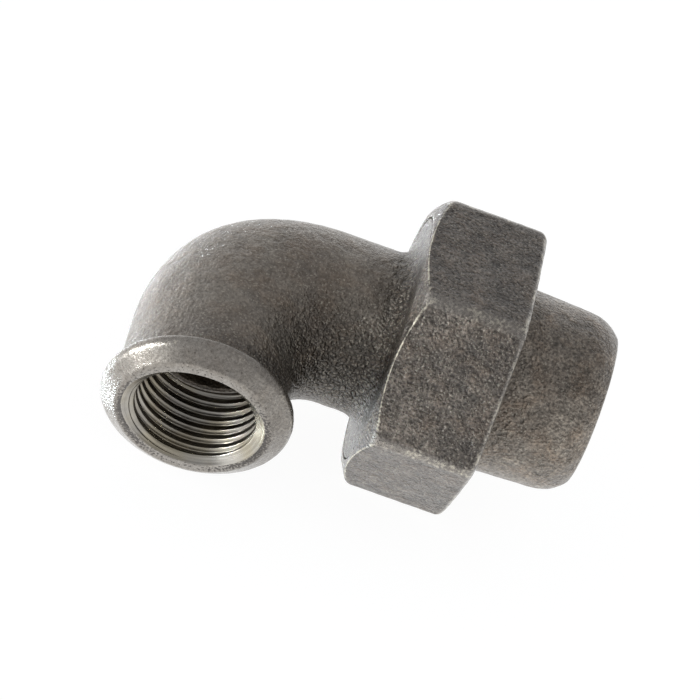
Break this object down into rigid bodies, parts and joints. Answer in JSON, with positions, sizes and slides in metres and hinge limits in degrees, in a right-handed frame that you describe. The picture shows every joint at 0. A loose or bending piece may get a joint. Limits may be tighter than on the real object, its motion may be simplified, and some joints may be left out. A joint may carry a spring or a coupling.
{
  "type": "pipe union elbow",
  "caption": "Right-angle cast iron pipe union elbow: a female threaded inlet with a beaded rim, a hexagon union nut and a female threaded tail piece that seals on a flat gasket.",
  "frame": {"origin": "centre of the inlet's face", "axes": "-Y out of the inlet, +X out of the outlet along the union, +Z square to both"},
  "size_m": [0.0727, 0.0511, 0.0438],
  "materials": {
    "cast_body": "rough dark cast skin, bright machined thread",
    "gasket": "matt pressed fibre and rubber sheet",
    "cast_tail": "rough dark cast skin, bright machined thread",
    "cast_nut": "rough dark cast skin with worn edges"
  },
  "bodies": {
    "elbow": {"elbow_body": "cast_body"},
    "seal": {"gasket": "gasket"},
    "tail": {"union_tail": "cast_tail"},
    "nut": {"union_nut": "cast_nut"}
  },
  "joints": [
    {"name": "union_opening", "type": "slide", "parent": "elbow", "child": "seal", "axis": [1, 0, 0], "range_m": [0, 0.00564]},
    {"name": "nut_turn", "type": "hinge", "parent": "seal", "child": "nut", "pos_m": [0.034, 0.028, 0], "axis": [1, 0, 0], "range_deg": [0, 880]},
    {"name": "tail_swivel", "type": "hinge", "parent": "seal", "child": "tail", "pos_m": [0.036, 0.028, 0], "axis": [1, 0, 0], "continuous": true}
  ],
  "couplings": [
    {"joint": "nut_turn", "follows": "union_opening", "rad_per_m": 2721.2}
  ]
}
